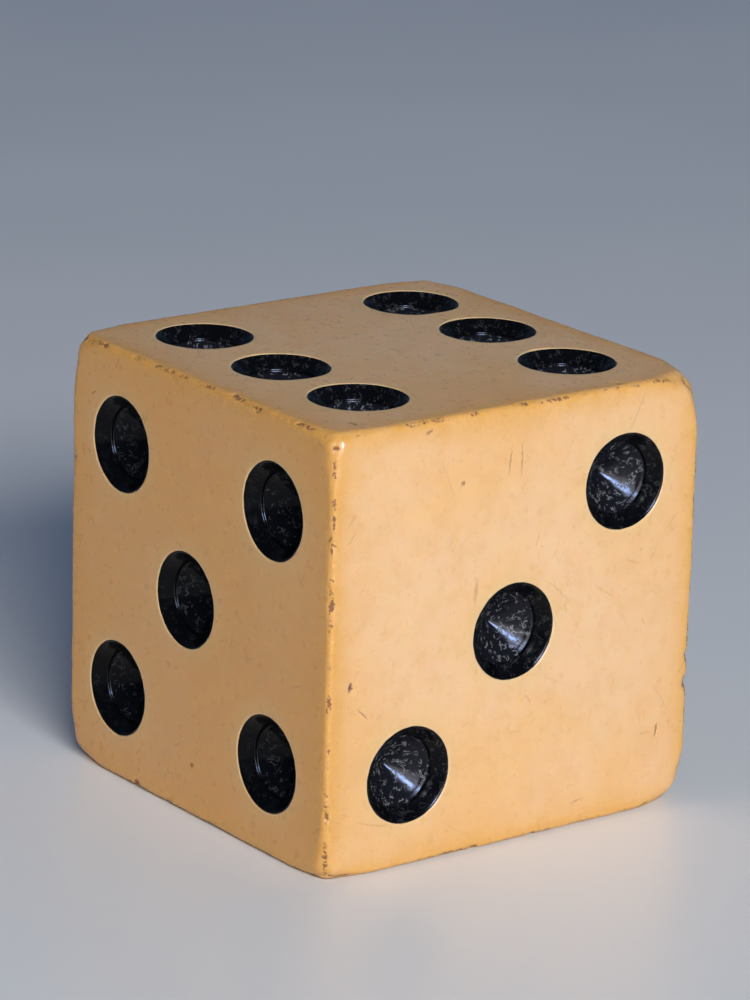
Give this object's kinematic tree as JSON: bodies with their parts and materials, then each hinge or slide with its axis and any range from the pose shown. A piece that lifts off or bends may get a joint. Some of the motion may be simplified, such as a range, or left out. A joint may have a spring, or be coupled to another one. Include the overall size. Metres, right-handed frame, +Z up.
{
  "type": "six-sided die",
  "caption": "Cube-shaped gaming die of cast resin with slightly rounded edges and drilled, black-enamelled conical pips on every face.",
  "frame": {"origin": "centre of the face that the die rests on (the face with one pip), at table height", "axes": "+Z up, out of the face with six pips; -Y out of the face with five pips; +X out of the face with three pips"},
  "size_m": [0.016, 0.016, 0.0159],
  "materials": {
    "resin": "worn gloss, aged cream to butterscotch",
    "pip_enamel": "wrinkled gloss black"
  },
  "bodies": {
    "root": {"die_body": "resin", "five_pip_bottom_left": "pip_enamel", "five_pip_bottom_right": "pip_enamel", "five_pip_centre": "pip_enamel", "five_pip_top_left": "pip_enamel", "five_pip_top_right": "pip_enamel", "four_pip_bottom_left": "pip_enamel", "four_pip_bottom_right": "pip_enamel", "four_pip_top_left": "pip_enamel", "four_pip_top_right": "pip_enamel", "one_pip_centre": "pip_enamel", "six_pip_bottom_centre": "pip_enamel", "six_pip_bottom_left": "pip_enamel", "six_pip_bottom_right": "pip_enamel", "six_pip_top_centre": "pip_enamel", "six_pip_top_left": "pip_enamel", "six_pip_top_right": "pip_enamel", "three_pip_bottom_left": "pip_enamel", "three_pip_centre": "pip_enamel", "three_pip_top_right": "pip_enamel", "two_pip_bottom_left": "pip_enamel", "two_pip_top_right": "pip_enamel"}
  },
  "joints": []
}
